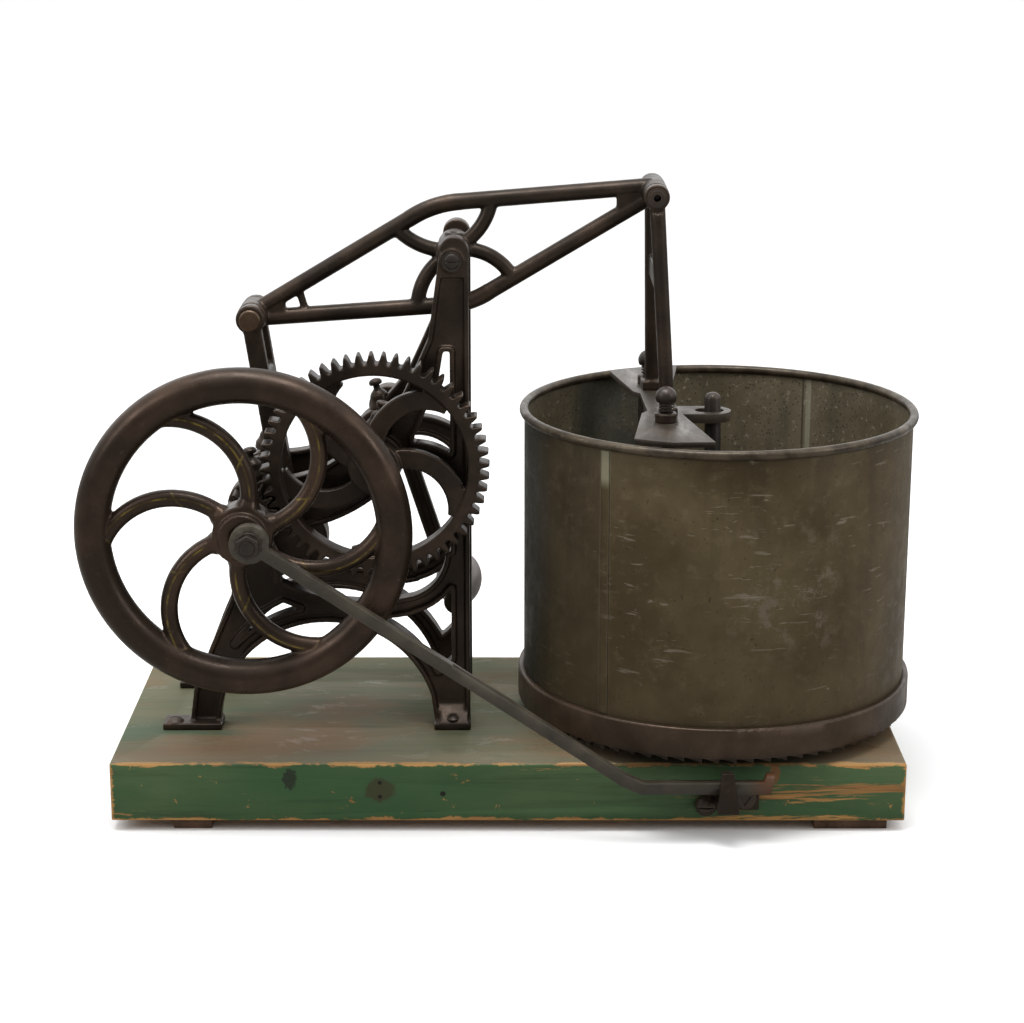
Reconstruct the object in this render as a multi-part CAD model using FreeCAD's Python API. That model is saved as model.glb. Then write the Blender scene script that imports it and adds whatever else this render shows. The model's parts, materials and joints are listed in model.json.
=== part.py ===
import FreeCAD, Part
import math
import os

# Hand-cranked walking-beam meat chopper on a painted board.
# Machine frame: X runs along the board to the right, Y runs from the operator's
# front side to the back, Z is up. X = 0 is the middle of the board, Y = 0 is the
# plane of the walking beam and of the drum's centre, Z = 0 is the floor. Sizes in mm.
# Every solid is shifted by ENVELOPE_SHIFT when it is written, so that the middle of
# the whole machine's footprint stands at the origin.
ENVELOPE_SHIFT = FreeCAD.Vector(-0.5, -43.25, 0)

# board and battens
BOARD_HALF_LENGTH = 292.0
BOARD_FRONT = -126.5
BOARD_BACK = 115.0
BATTEN_HEIGHT = 9.0
BOARD_THICKNESS = 44.5
BOARD_TOP = BATTEN_HEIGHT + BOARD_THICKNESS
BATTENS = ((-247.0, -219.0), (226.0, 280.0))

# the two main castings that carry the beam, the gear and the flywheel
FRAME_INNER = 36.0
FRAME_DEPTH = 14.0
FRAME_OUTER = FRAME_INNER + FRAME_DEPTH
WEB_THICKNESS = 5.0
FLANGE = 3.2
PIVOT = (-40.6, 411.3)
GEAR_AXIS = (-97.6, 262.6)
WHEEL_AXIS = (-188.1, 228.6)
BEARING_RADIUS = 20.0
BEARING_STANDOFF = 2.5
HEAD_CENTRE = (-39.2, 418.4)
HEAD_RADIUS = 10.2
HEAD_SOLID_ABOVE = 399.0
LEG_LEFT = -42.6
LEG_RIGHT = -29.0
ARCH_CENTRE = (-137.0, 55.0)
ARCH_INNER = 82.0
ARCH_OUTER = 94.5
PAD_THICKNESS = 5.0
PAD_REACH = 8.0
RAMP_TOP = 17.0

# shafts and running clearance
SHAFT_RADIUS = 8.0
PIN_RADIUS = 5.0
RUNNING = 0.05

# bracket that guides the feed rod
BRACKET_LEFT = 143.9
BRACKET_RIGHT = 184.0

# gear train
MODULE = 2.885
GEAR_TEETH = 56
PINION_TEETH = 11
GEAR_FRONT = -72.5
GEAR_BACK = -56.5
ADDENDUM = 1.15 * MODULE
PINION_FULLNESS = 0.82
DEDENDUM = 1.45 * MODULE

# flywheel
WHEEL_MID = -127.0
WHEEL_RIM_RADIUS = 107.7
WHEEL_RIM_SECTION = 12.6
WHEEL_SPOKES = 6
SPOKE_RADIUS = 6.1
WHEEL_FRONT = -141.5
WHEEL_BACK = -112.0

# eccentric and feed rod that turn the drum tooth by tooth
STUD = (-182.0, 227.1)
ROD_FRONT = -151.5
ROD_BACK = -143.5
ROD_HEIGHT = 8.5

# crank for the walking beam
CRANK_PIN = (-165.0, 190.6)
WEB_INNER = 23.0
WEB_OUTER = 33.0

# walking beam
BEAM_LEFT = (-190.6, 363.0)
BEAM_RIGHT = (108.0, 454.9)
CHORD_RADIUS = 5.9
ARM_RADIUS = 5.2
HUB_RADIUS = 12.0
OILER_TOP = 424.5
HUB_HALF = 26.5

# chopper: fork, crosshead and knife
FORK_EYE_INNER = 26.0
FORK_EYE_OUTER = 35.5
FORK_FOOT = (114.2, 296.0)
FORK_FOOT_Y = 46.0
FOOT_TWIST = 3.3
HEAD_X = 112.0
PLATE_TOP = 296.0
PLATE_THICKNESS = 4.0
PLATE_REACH = 136.5
PLATE_TWIST = 2.2
ADJUSTER_Y = 66.0
ADJUSTER_TWIST = 2.9
ARM_TOP = 289.5
ARM_BOTTOM = 282.5
SLOT_BACK = 6.6
SLOT_AHEAD = 2.0
KNIFE_BOTTOM = 176.0
KNIFE_TOP = 236.0
KNIFE_HALF_LENGTH = 122.0

# drum
DRUM_X = 158.6
DRUM_RADIUS = 146.4
DRUM_SHEET = 1.2
DRUM_RIM_Z = 290.4
RIM_WIRE_RADIUS = 3.4
BAND_RADIUS = 150.8
BAND_BOTTOM = 66.3
BAND_TOP = 88.7
FLOOR_TOP = 72.5
BLOCK_TOP = 91.0
RATCHET_TEETH = 74
RATCHET_DEPTH = 4.0
POST_RADIUS = 6.2
POST_TOP = 303.4
POST_BEND = 104.0
POST_LEAN = -4.3

# hand crank
CRANK_FRONT = 137.0
CRANK_BACK = 147.0
HANDLE = (-43.0, 94.0)
GRIP_FRONT = 152.0
GRIP_LENGTH = 92.0
GRIP_RADIUS = 19.7


def at(x, y, z):
    return FreeCAD.Vector(x, y, z)


def block(x0, x1, y0, y1, z0, z1):
    return Part.makeBox(x1 - x0, y1 - y0, z1 - z0, at(x0, y0, z0))


def rod_y(centre, radius, y0, y1):
    """Round bar along Y through an (x, z) centre."""
    return Part.makeCylinder(radius, y1 - y0, at(centre[0], y0, centre[1]), at(0, 1, 0))


def rod_z(x, y, radius, z0, z1):
    """Upright round bar."""
    return Part.makeCylinder(radius, z1 - z0, at(x, y, z0), at(0, 0, 1))


def tube_y(centre, outer, inner, y0, y1):
    return rod_y(centre, outer, y0, y1).cut(rod_y(centre, inner, y0 - 1, y1 + 1))


def union(shapes):
    whole = shapes[0].fuse(shapes[1:]) if len(shapes) > 1 else shapes[0]
    return whole.removeSplitter()


def polar(centre, radius, degrees):
    """Point (x, z) at a radius and angle from a centre, counter-clockwise from +X."""
    angle = math.radians(degrees)
    return (centre[0] + radius * math.cos(angle), centre[1] + radius * math.sin(angle))


def plate(corners, y0, y1):
    """Flat plate in the XZ plane with straight edges, from y0 to y1."""
    points = [at(x, y0, z) for x, z in corners]
    face = Part.Face(Part.makePolygon(points + points[:1]))
    return face.extrude(at(0, y1 - y0, 0))


def strap(p, q, width, y0, y1):
    """Straight flat bar with rounded ends between two (x, z) points."""
    length = math.hypot(q[0] - p[0], q[1] - p[1])
    nx = -(q[1] - p[1]) / length * width / 2
    nz = (q[0] - p[0]) / length * width / 2
    ux = nz
    uz = -nx
    a, b = at(p[0] + nx, y0, p[1] + nz), at(q[0] + nx, y0, q[1] + nz)
    c, d = at(q[0] - nx, y0, q[1] - nz), at(p[0] - nx, y0, p[1] - nz)
    edges = [
        Part.makeLine(a, b),
        Part.Arc(b, at(q[0] + ux, y0, q[1] + uz), c).toShape(),
        Part.makeLine(c, d),
        Part.Arc(d, at(p[0] - ux, y0, p[1] - uz), a).toShape(),
    ]
    return Part.Face(Part.Wire(edges)).extrude(at(0, y1 - y0, 0))


def circle_through(p, m, q):
    """Centre and radius of the circle through three (x, z) points."""
    ax, az, bx, bz = m[0] - p[0], m[1] - p[1], q[0] - p[0], q[1] - p[1]
    d = 2 * (ax * bz - az * bx)
    aa, bb = ax * ax + az * az, bx * bx + bz * bz
    ux, uz = (bz * aa - az * bb) / d, (ax * bb - bx * aa) / d
    return (p[0] + ux, p[1] + uz), math.hypot(ux, uz)


def bowed_strap(p, m, q, width, y0, y1):
    """Flat bar whose middle line is the arc through three (x, z) points."""
    centre, radius = circle_through(p, m, q)

    def pushed(point, shift):
        k = (radius + shift) / radius
        return at(centre[0] + (point[0] - centre[0]) * k, y0, centre[1] + (point[1] - centre[1]) * k)

    half = width / 2
    edges = [
        Part.Arc(pushed(p, half), pushed(m, half), pushed(q, half)).toShape(),
        Part.makeLine(pushed(q, half), pushed(q, -half)),
        Part.Arc(pushed(q, -half), pushed(m, -half), pushed(p, -half)).toShape(),
        Part.makeLine(pushed(p, -half), pushed(p, half)),
    ]
    return Part.Face(Part.Wire(edges)).extrude(at(0, y1 - y0, 0))


def round_bar(p, q, radius, y=0.0):
    """Straight round bar between two (x, z) points in the plane y."""
    start, end = at(p[0], y, p[1]), at(q[0], y, q[1])
    return Part.makeCylinder(radius, (end - start).Length, start, end - start)


def bowed_round_bar(p, m, q, radius, y=0.0):
    """Round bar whose middle line is the arc through three (x, z) points."""
    path = Part.Arc(at(p[0], y, p[1]), at(m[0], y, m[1]), at(q[0], y, q[1])).toShape()
    ring = Part.makeCircle(radius, path.valueAt(path.FirstParameter), path.tangentAt(path.FirstParameter))
    return Part.Wire([path]).makePipeShell([Part.Wire([ring])], True, True)


def hexagon_y(centre, across_flats, y0, y1):
    corners = [polar(centre, across_flats / math.sqrt(3), 60 * k + 30) for k in range(6)]
    return plate(corners, y0, y1)


def slotted_screw(x, y, z, head_radius, shank_radius, shank_length):
    """Round-head wood screw standing upright, its head's underside at height z."""
    dome_radius = head_radius * 1.25
    sunk = math.sqrt(dome_radius ** 2 - head_radius ** 2)
    head = Part.makeSphere(dome_radius, at(x, y, z - sunk))
    head = head.common(rod_z(x, y, head_radius, z, z + head_radius))
    slot = block(x - head_radius, x + head_radius, y - 0.8, y + 0.8, z + head_radius * 0.3, z + head_radius)
    return union([head.cut(slot), rod_z(x, y, shank_radius, z - shank_length, z)])


def turned(profile, origin, axis):
    """Solid of revolution: profile is (distance along axis, radius) from the origin."""
    side = at(0, 0, 1) if abs(axis.z) < 0.5 else at(1, 0, 0)
    points = [origin + axis * s + side * r for s, r in profile]
    face = Part.Face(Part.makePolygon(points + points[:1]))
    return face.revolve(origin, axis, 360)


def bored(solid, fasteners):
    """The solid with an exact hole for every fastener that enters it."""
    for fastener in fasteners:
        if fastener.BoundBox.intersect(solid.BoundBox):
            solid = solid.cut(fastener)
    return solid


# ---------------------------------------------------------------- base


def base_board():
    board = block(-BOARD_HALF_LENGTH, BOARD_HALF_LENGTH, BOARD_FRONT, BOARD_BACK, BATTEN_HEIGHT, BOARD_TOP)
    outer = [e for e in board.Edges if e.BoundBox.ZMax > BOARD_TOP - 1]
    return bored(board.makeFillet(2.2, outer),
                 foot_screws() + pivot_plate_screws() + bracket_screws() + [centre_post()])


def base_battens():
    return [block(x0, x1, BOARD_FRONT + 6, BOARD_BACK - 6, 0, BATTEN_HEIGHT) for x0, x1 in BATTENS]


def frame_outline(y0, y1):
    """Silhouette of one main casting between two planes: legs, arches and arms."""
    arch = tube_y(ARCH_CENTRE, ARCH_OUTER, ARCH_INNER, y0, y1)
    arch = arch.common(block(-300, 0, y0, y1, BOARD_TOP, 200))
    post = block(LEG_LEFT, LEG_RIGHT, y0, y1, BOARD_TOP, HEAD_CENTRE[1])
    head = rod_y(HEAD_CENTRE, HEAD_RADIUS, y0, y1)
    slant = plate(
        [(HEAD_CENTRE[0] - HEAD_RADIUS, HEAD_CENTRE[1]), (-58.3, 353.5), (-66, 336), (-77.6, 311), (-104, 280),
         (-98, 262), (-70, 266), (-70, 278.6), (-64.7, 289.9), (-51.1, 323.7), (-47.6, 344.6), (-36, 344.6),
         (-36, HEAD_CENTRE[1])], y0, y1)
    brace = bowed_strap((-84, 266), (-58, 267), (-37, 252), 15.0, y0, y1)
    arm = bowed_strap(WHEEL_AXIS, (-143, 233), GEAR_AXIS, 40.0, y0, y1)
    left_leg = plate(
        [(-242.5, BOARD_TOP), (-238.5, 83), (-225.5, 116), (-208.2, 155), (-204.5, 190), (-204.5, 215),
         (-172, 215), (-176, 190), (-170, 168), (-150, 158), (-168, 153), (-186, 143), (-203, 124),
         (-220, 100), (-228, BOARD_TOP)], y0, y1)
    smile = bowed_strap((-190, 172), (-130, 148), (-72, 150), 14.0, y0, y1)
    smile_end = bowed_strap((-76, 149.5), (-57, 157.5), (-40, 192), 13.0, y0, y1)
    gusset = plate([(-60, 90), (-40, 110), (-36, BOARD_TOP), (-55, BOARD_TOP)], y0, y1)
    bosses = [rod_y(GEAR_AXIS, BEARING_RADIUS, y0, y1), rod_y(WHEEL_AXIS, BEARING_RADIUS, y0, y1)]
    return union([arch, post, head, slant, brace, arm, left_leg, smile, smile_end, gusset] + bosses)


def shrunk(face, margin):
    """The same flat region with a margin taken off every edge, windows included."""
    region = Part.Face(face.OuterWire.makeOffset2D(-margin))
    for wire in face.Wires:
        if not wire.isSame(face.OuterWire):
            region = region.cut(Part.Face(wire.makeOffset2D(margin)))
    return region


def main_frame(side):
    """One casting; side -1 is the front frame, +1 the rear one. Flanges run round every edge."""
    solid = frame_outline(0, 1)
    faces = [f for f in solid.Faces if abs(f.normalAt(0, 0).y + 1) < 1e-6 and abs(f.CenterOfMass.y) < 1e-6]
    outline = max(faces, key=lambda f: f.Area)
    solid_head = block(-80, 0, -1, 1, HEAD_SOLID_ABOVE, 440)
    recess_plan = shrunk(outline, FLANGE).cut(solid_head)
    depth = (FRAME_DEPTH - WEB_THICKNESS) / 2
    casting = outline.extrude(at(0, FRAME_DEPTH, 0))
    for start in (0, FRAME_DEPTH - depth):
        recess = recess_plan.copy()
        recess.translate(at(0, start, 0))
        casting = casting.cut(recess.extrude(at(0, depth, 0)))
    bosses = [rod_y(c, BEARING_RADIUS, -BEARING_STANDOFF, FRAME_DEPTH + BEARING_STANDOFF)
              for c in (GEAR_AXIS, WHEEL_AXIS)]
    bosses.append(rod_y(PIVOT, 8.6, -1.5, FRAME_DEPTH))
    casting = union([casting] + bosses)
    y0 = -FRAME_OUTER if side < 0 else FRAME_INNER
    casting.translate(at(0, y0, 0))
    outward = (y0 - PAD_REACH, y0 + FRAME_DEPTH) if side < 0 else (y0, y0 + FRAME_DEPTH + PAD_REACH)
    pads = [block(x0, x1, outward[0], outward[1], BOARD_TOP, BOARD_TOP + PAD_THICKNESS)
            for x0, x1 in ((-262, -217.5), (-56, -28.5))]
    outer_face = -FRAME_OUTER if side < 0 else FRAME_OUTER
    ramp_foot = outer_face + side * (PAD_REACH - 0.6)
    ramp = Part.Face(Part.makePolygon([
        at(-52, outer_face - side * 4, BOARD_TOP), at(-52, ramp_foot, BOARD_TOP),
        at(-52, ramp_foot, BOARD_TOP + PAD_THICKNESS + 0.6), at(-52, outer_face - side * 4, BOARD_TOP + RAMP_TOP),
        at(-52, outer_face - side * 4, BOARD_TOP)])).extrude(at(22, 0, 0))
    casting = union([casting, ramp] + pads)
    for centre, radius in ((GEAR_AXIS, SHAFT_RADIUS + RUNNING), (WHEEL_AXIS, SHAFT_RADIUS + RUNNING),
                           (PIVOT, PIN_RADIUS + 1)):
        casting = casting.cut(rod_y(centre, radius, y0 - 5, y0 + FRAME_DEPTH + 5))
    return bored(casting, foot_screws() + bearing_oilers())


def foot_screws():
    y = FRAME_OUTER + 1
    left = [slotted_screw(-253.5, side * y, BOARD_TOP + PAD_THICKNESS, 7.0, 2.6, 22) for side in (-1, 1)]
    right = [slotted_screw(-42.0, side * (y + 2.0), BOARD_TOP + PAD_THICKNESS + 3.0, 5.2, 2.6, 25)
             for side in (-1, 1)]
    return left + right


def oiler(centre, y, lean):
    """Oil cup screwed into a bearing boss: stem, domed cup and a round cap, leaning sideways."""
    foot = at(centre[0], y, centre[1] + BEARING_RADIUS - 1.5)
    axis = at(math.sin(math.radians(lean)), 0, math.cos(math.radians(lean)))
    return turned([(-3, 0), (-3, 3), (0, 3), (0, 9.5), (5, 9.5), (9, 7.5), (13, 7.0), (15, 5.4), (17, 2.6),
                   (20, 2.6), (21, 5.2), (23.5, 5.2), (24.5, 3.6), (24.5, 0)], foot, axis)


def bearing_oilers():
    middle = (FRAME_INNER + FRAME_OUTER) / 2
    return [oiler(GEAR_AXIS, -middle, 14), oiler(GEAR_AXIS, middle, -14), oiler(WHEEL_AXIS, -middle, -10),
            oiler(WHEEL_AXIS, middle, 10)]


def beam_pivot():
    """Pivot bolt through both frame heads and the beam, with a slotted round head in front."""
    front = -FRAME_OUTER - 1.5
    shank = rod_y(PIVOT, PIN_RADIUS + 1, front, FRAME_OUTER + 4)
    head = turned([(0, 0), (0, 7.2), (1.6, 7.2), (1.6, 5.6), (3.4, 4.8), (4.2, 2.5), (4.2, 0)],
                  at(PIVOT[0], front, PIVOT[1]), at(0, -1, 0))
    slot = block(PIVOT[0] - 6, PIVOT[0] + 6, front - 6, front - 3, PIVOT[1] - 0.7, PIVOT[1] + 0.7)
    return union([shank, head.cut(slot)])


def pivot_nut():
    nut = hexagon_y(PIVOT, 15, FRAME_OUTER, FRAME_OUTER + 6)
    return nut.cut(rod_y(PIVOT, PIN_RADIUS + 1, FRAME_OUTER - 1, FRAME_OUTER + 7))


def centre_post():
    """Upright post the drum turns on; it leans from a collar just above the block, bent by years of use."""
    straight = rod_z(DRUM_X, 0, POST_RADIUS, BOARD_TOP - 20, POST_BEND)
    collar = rod_z(DRUM_X, 0, POST_RADIUS + 0.8, POST_BEND - 2, POST_BEND + 2)
    foot, top = at(DRUM_X, 0, POST_BEND + 0.5), at(DRUM_X + POST_LEAN, 0, POST_TOP)
    rise = (top - foot).Length
    r = POST_RADIUS
    domed = turned([(0, 0), (0, r), (rise - 4.5, r), (rise - 2.6, r - 0.6), (rise - 1.1, r - 1.8),
                    (rise - 0.3, r - 3.6), (rise, 0)], foot, (top - foot).normalize())
    return union([straight, collar, domed])


def pivot_plate():
    plate_disc = rod_z(DRUM_X, 0, 34, BOARD_TOP, BOARD_TOP + 3.5)
    boss = rod_z(DRUM_X, 0, 13, BOARD_TOP, BOARD_TOP + 6)
    whole = union([plate_disc, boss])
    return bored(whole, pivot_plate_screws() + [centre_post()])


def pivot_plate_screws():
    spots = [polar((DRUM_X, 0), 24, 45 + 90 * k) for k in range(4)]
    return [slotted_screw(x, y, BOARD_TOP + 3.5, 4.0, 2.0, 18) for x, y in spots]


def rod_bracket():
    """Plate on the board's front face with an upturned arm that keeps the feed rod in place."""
    face = BOARD_FRONT
    back_plate = block(BRACKET_LEFT, BRACKET_RIGHT, face - 4, face, 19, 33)
    shelf = block(151.5, 166, face - 33.0, face - 2, 27, 32)
    front_arm = plate([(151.3, 27), (167, 27), (166.4, 34), (162.4, 58.5), (153.8, 58.5)], face - 33.0, face - 27.6)
    return bored(union([back_plate, shelf, front_arm]), bracket_screws())


def bracket_screws():
    """Domed slotted screw on the left and a flat-faced one with a three-sided key hole on the right."""
    face = BOARD_FRONT - 4
    left, right = (BRACKET_LEFT + 1, 23.0), (173.5, 28.5)
    domed = turned([(-20, 0), (-20, 2.4), (0, 2.4), (0, 8.2), (3.5, 7.6), (6.5, 5.4), (7.8, 2.4), (8, 0)],
                   at(left[0], face, left[1]), at(0, -1, 0))
    domed = domed.cut(block(left[0] - 9, left[0] + 9, face - 10, face - 5.2, left[1] - 0.7, left[1] + 0.7))
    flat = turned([(-20, 0), (-20, 2.4), (0, 2.4), (0, 8.2), (2.6, 8.2), (3.6, 7.2), (3.6, 0)],
                  at(right[0], face, right[1]), at(0, -1, 0))
    corners = [polar(right, 5.4, 25 + 120 * k) for k in range(3)]
    return [domed, flat.cut(plate(corners, face - 5, face - 2.4))]


# ---------------------------------------------------------------- gear train


def gear_shape(centre, teeth, phase, y0, y1, fullness=1.0):
    """Toothed disc. Cast teeth: pointed, with straight flanks and generous backlash."""
    pitch_radius = MODULE * teeth / 2
    pitch = math.pi * MODULE
    root = pitch_radius - DEDENDUM
    tip = pitch_radius + ADDENDUM
    widths = ((root - 1.0, 0.64), (pitch_radius - 0.9, 0.46), (pitch_radius + 0.9, 0.35), (tip, 0.17))
    shapes = [rod_y(centre, root, y0, y1)]
    for k in range(teeth):
        middle = phase + 360.0 * k / teeth
        left = [polar(centre, r, middle + math.degrees(w * fullness * pitch / 2 / r)) for r, w in widths]
        right = [polar(centre, r, middle - math.degrees(w * fullness * pitch / 2 / r)) for r, w in reversed(widths)]
        shapes.append(plate(left + right, y0, y1))
    return union(shapes)


MESH_ANGLE = math.degrees(math.atan2(WHEEL_AXIS[1] - GEAR_AXIS[1], WHEEL_AXIS[0] - GEAR_AXIS[0]))


def drive_gear():
    """Large gear: toothed rim, hub and five flat arms that curl clockwise."""
    disc = gear_shape(GEAR_AXIS, GEAR_TEETH, MESH_ANGLE, GEAR_FRONT, GEAR_BACK)
    rim_inner = MODULE * GEAR_TEETH / 2 - DEDENDUM - 8.0
    rim = disc.cut(rod_y(GEAR_AXIS, rim_inner, GEAR_FRONT - 1, GEAR_BACK + 1))
    arms = []
    for k in range(5):
        end = 40.0 - 72.0 * k
        start, middle = polar(GEAR_AXIS, 12, end + 52), polar(GEAR_AXIS, 44, end + 31)
        arms.append(bowed_strap(start, middle, polar(GEAR_AXIS, rim_inner + 2.5, end), 14.0,
                                GEAR_FRONT + 3, GEAR_BACK - 5))
    hub = rod_y(GEAR_AXIS, 19.0, GEAR_FRONT - 3, GEAR_BACK)
    gear = union([rim, hub] + arms)
    return gear.cut(rod_y(GEAR_AXIS, SHAFT_RADIUS, GEAR_FRONT - 5, GEAR_BACK + 2))


def gear_shaft():
    shaft = rod_y(GEAR_AXIS, SHAFT_RADIUS, GEAR_FRONT - 6, CRANK_BACK + 3)
    thread = rod_y(GEAR_AXIS, 6.0, CRANK_BACK + 3, CRANK_BACK + 14)
    return union([shaft, thread])


def shaft_collar():
    """Ring that keeps the gear shaft from sliding forward, held by a set screw."""
    back = FRAME_OUTER + BEARING_STANDOFF + 0.6
    ring = tube_y(GEAR_AXIS, 14.0, SHAFT_RADIUS, back, back + 12)
    screw = rod_z(GEAR_AXIS[0], back + 6, 3.0, GEAR_AXIS[1] + 12, GEAR_AXIS[1] + 18)
    return union([ring, screw])


def crank_arm():
    """Grooved flat bar with a round hub at the shaft and a round eye at the handle."""
    bar = strap(GEAR_AXIS, HANDLE, 13.0, CRANK_FRONT, CRANK_BACK)
    hub = rod_y(GEAR_AXIS, 16.0, CRANK_FRONT - 4, CRANK_BACK + 3)
    eye = rod_y(HANDLE, 11.0, CRANK_FRONT - 1, CRANK_BACK)
    dx, dz = HANDLE[0] - GEAR_AXIS[0], HANDLE[1] - GEAR_AXIS[1]
    near = (GEAR_AXIS[0] + dx * 0.13, GEAR_AXIS[1] + dz * 0.13)
    far = (GEAR_AXIS[0] + dx * 0.90, GEAR_AXIS[1] + dz * 0.90)
    groove = strap(near, far, 6.0, CRANK_FRONT - 0.01, CRANK_FRONT + 3)
    arm = union([bar.cut(groove), hub, eye])
    arm = arm.cut(rod_y(GEAR_AXIS, SHAFT_RADIUS, CRANK_FRONT - 6, CRANK_BACK + 4))
    return arm.cut(rod_y(HANDLE, PIN_RADIUS, CRANK_FRONT - 6, CRANK_BACK + 4))


def crank_nut():
    nut = hexagon_y(GEAR_AXIS, 19.0, CRANK_BACK + 3, CRANK_BACK + 11)
    return nut.cut(rod_y(GEAR_AXIS, 6.0, CRANK_BACK, CRANK_BACK + 12))


def handle_pin():
    end = GRIP_FRONT + GRIP_LENGTH
    return union([rod_y(HANDLE, PIN_RADIUS, CRANK_FRONT - 1, end + 0.5), rod_y(HANDLE, 8.0, end + 0.5, end + 4)])


def handle_grip():
    """Turned wooden handle, thin at the crank and full towards its end."""
    start = at(HANDLE[0], GRIP_FRONT, HANDLE[1])
    collar = turned([(0, 0), (0, 11), (3, 12), (6, 11.2), (8, 10.6), (8, 0)], start, at(0, 1, 0))
    side = at(0, 0, 1)

    def spot(s, r):
        return start + at(0, s, 0) + side * r

    swell = Part.Arc(spot(8, 10.6), spot(52, GRIP_RADIUS), spot(86, 14.5)).toShape()
    cap = Part.Arc(spot(86, 14.5), spot(90.5, 11.5), spot(GRIP_LENGTH, 7.0)).toShape()
    close = [Part.makeLine(spot(GRIP_LENGTH, 7.0), spot(GRIP_LENGTH, 0)),
             Part.makeLine(spot(GRIP_LENGTH, 0), spot(8, 0)), Part.makeLine(spot(8, 0), spot(8, 10.6))]
    body = Part.Face(Part.Wire([swell, cap] + close)).revolve(start, at(0, 1, 0), 360)
    whole = union([collar, body])
    return whole.cut(rod_y(HANDLE, PIN_RADIUS + RUNNING, GRIP_FRONT - 1, GRIP_FRONT + GRIP_LENGTH + 1))


# ---------------------------------------------------------------- flywheel


def flywheel():
    """Round-section rim, six curved spokes and a stepped hub."""
    centre = at(WHEEL_AXIS[0], WHEEL_MID, WHEEL_AXIS[1])
    rim = Part.makeTorus(WHEEL_RIM_RADIUS, WHEEL_RIM_SECTION, centre, at(0, 1, 0))
    hub = rod_y(WHEEL_AXIS, 21.5, WHEEL_FRONT + 6, WHEEL_BACK)
    boss = rod_y(WHEEL_AXIS, 17.0, WHEEL_FRONT, WHEEL_FRONT + 7)
    spokes = []
    for k in range(WHEEL_SPOKES):
        end = 8.5 + 60.0 * k
        spokes.append(bowed_round_bar(polar(WHEEL_AXIS, 14, end - 50), polar(WHEEL_AXIS, 62, end - 33),
                                      polar(WHEEL_AXIS, WHEEL_RIM_RADIUS - 3, end), SPOKE_RADIUS, WHEEL_MID))
        root = polar(WHEEL_AXIS, 20, end - 48.5)
        spokes.append(Part.makeSphere(8.4, at(root[0], WHEEL_MID, root[1])))
    wheel = union([rim, hub, boss] + spokes)
    return wheel.cut(rod_y(WHEEL_AXIS, SHAFT_RADIUS, WHEEL_FRONT - 1, WHEEL_BACK + 1))


def flywheel_shaft():
    return rod_y(WHEEL_AXIS, SHAFT_RADIUS, WHEEL_FRONT, -WEB_INNER)


def pinion():
    gap = 360.0 / PINION_TEETH / 2
    wheel = gear_shape(WHEEL_AXIS, PINION_TEETH, MESH_ANGLE + 180 + gap, GEAR_FRONT - 1, GEAR_BACK + 1,
                       PINION_FULLNESS)
    hub = rod_y(WHEEL_AXIS, 12.5, GEAR_FRONT - 1, GEAR_BACK + 3.5)
    return union([wheel, hub]).cut(rod_y(WHEEL_AXIS, SHAFT_RADIUS, GEAR_FRONT - 3, GEAR_BACK + 5))


def crank_web(y0, y1):
    """Flat crank cheek, wide at the shaft and round at the pin."""
    cheek = union([rod_y(WHEEL_AXIS, 19, y0, y1), rod_y(CRANK_PIN, 17, y0, y1),
                   strap(WHEEL_AXIS, CRANK_PIN, 30, y0, y1)])
    return cheek


def front_web():
    return crank_web(-WEB_OUTER, -WEB_INNER).cut(rod_y(WHEEL_AXIS, SHAFT_RADIUS, -WEB_OUTER - 1, -WEB_INNER + 1))


def rear_web():
    cheek = crank_web(WEB_INNER, WEB_OUTER)
    journal = rod_y(WHEEL_AXIS, SHAFT_RADIUS, WEB_OUTER - 1, FRAME_OUTER + BEARING_STANDOFF + 4)
    return union([cheek, journal])


def eccentric_stud():
    return rod_y(STUD, PIN_RADIUS, WHEEL_FRONT - 20.0, WHEEL_FRONT)


def stud_washer():
    return tube_y(STUD, 9.5, PIN_RADIUS, ROD_FRONT - 2.8, ROD_FRONT - 0.5)


def stud_nut():
    nut = hexagon_y(STUD, 15.5, ROD_FRONT - 9.5, ROD_FRONT - 2.8)
    return nut.cut(rod_y(STUD, PIN_RADIUS, ROD_FRONT - 12, ROD_FRONT))


def feed_rod():
    """Flat rod from the eccentric stud down to the drum's ratchet, its tip turned up."""
    elbow, tail, tip = (84.0, 49.5), (97.0, 43.5), (190.0, 43.5)
    eye = rod_y(STUD, 14.0, ROD_FRONT, ROD_BACK)
    slope = strap(STUD, (-41.4, 134.0), ROD_HEIGHT, ROD_FRONT, ROD_BACK)
    lower = strap((-41.4, 134.0), elbow, ROD_HEIGHT, ROD_FRONT, ROD_BACK)
    knee = strap(elbow, tail, ROD_HEIGHT, ROD_FRONT, ROD_BACK)
    level = plate([(tail[0], tail[1] - ROD_HEIGHT / 2), (tip[0], tail[1] - ROD_HEIGHT / 2),
                   (tip[0] + 3, 53.5), (tip[0] - 3, 53.5), (tip[0] - 5, tail[1] + ROD_HEIGHT / 2),
                   (tail[0], tail[1] + ROD_HEIGHT / 2)], ROD_FRONT, ROD_BACK)
    rod = union([eye, slope, lower, knee, level])
    return rod.cut(rod_y(STUD, PIN_RADIUS + RUNNING, ROD_FRONT - 1, ROD_BACK + 1))


# ---------------------------------------------------------------- beam and pitman


def beyond(start, end, extra):
    """The point a little past the end of a line in the XZ plane."""
    length = math.dist(start, end)
    return tuple(e + (e - b) / length * extra for b, e in zip(start, end))


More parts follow.
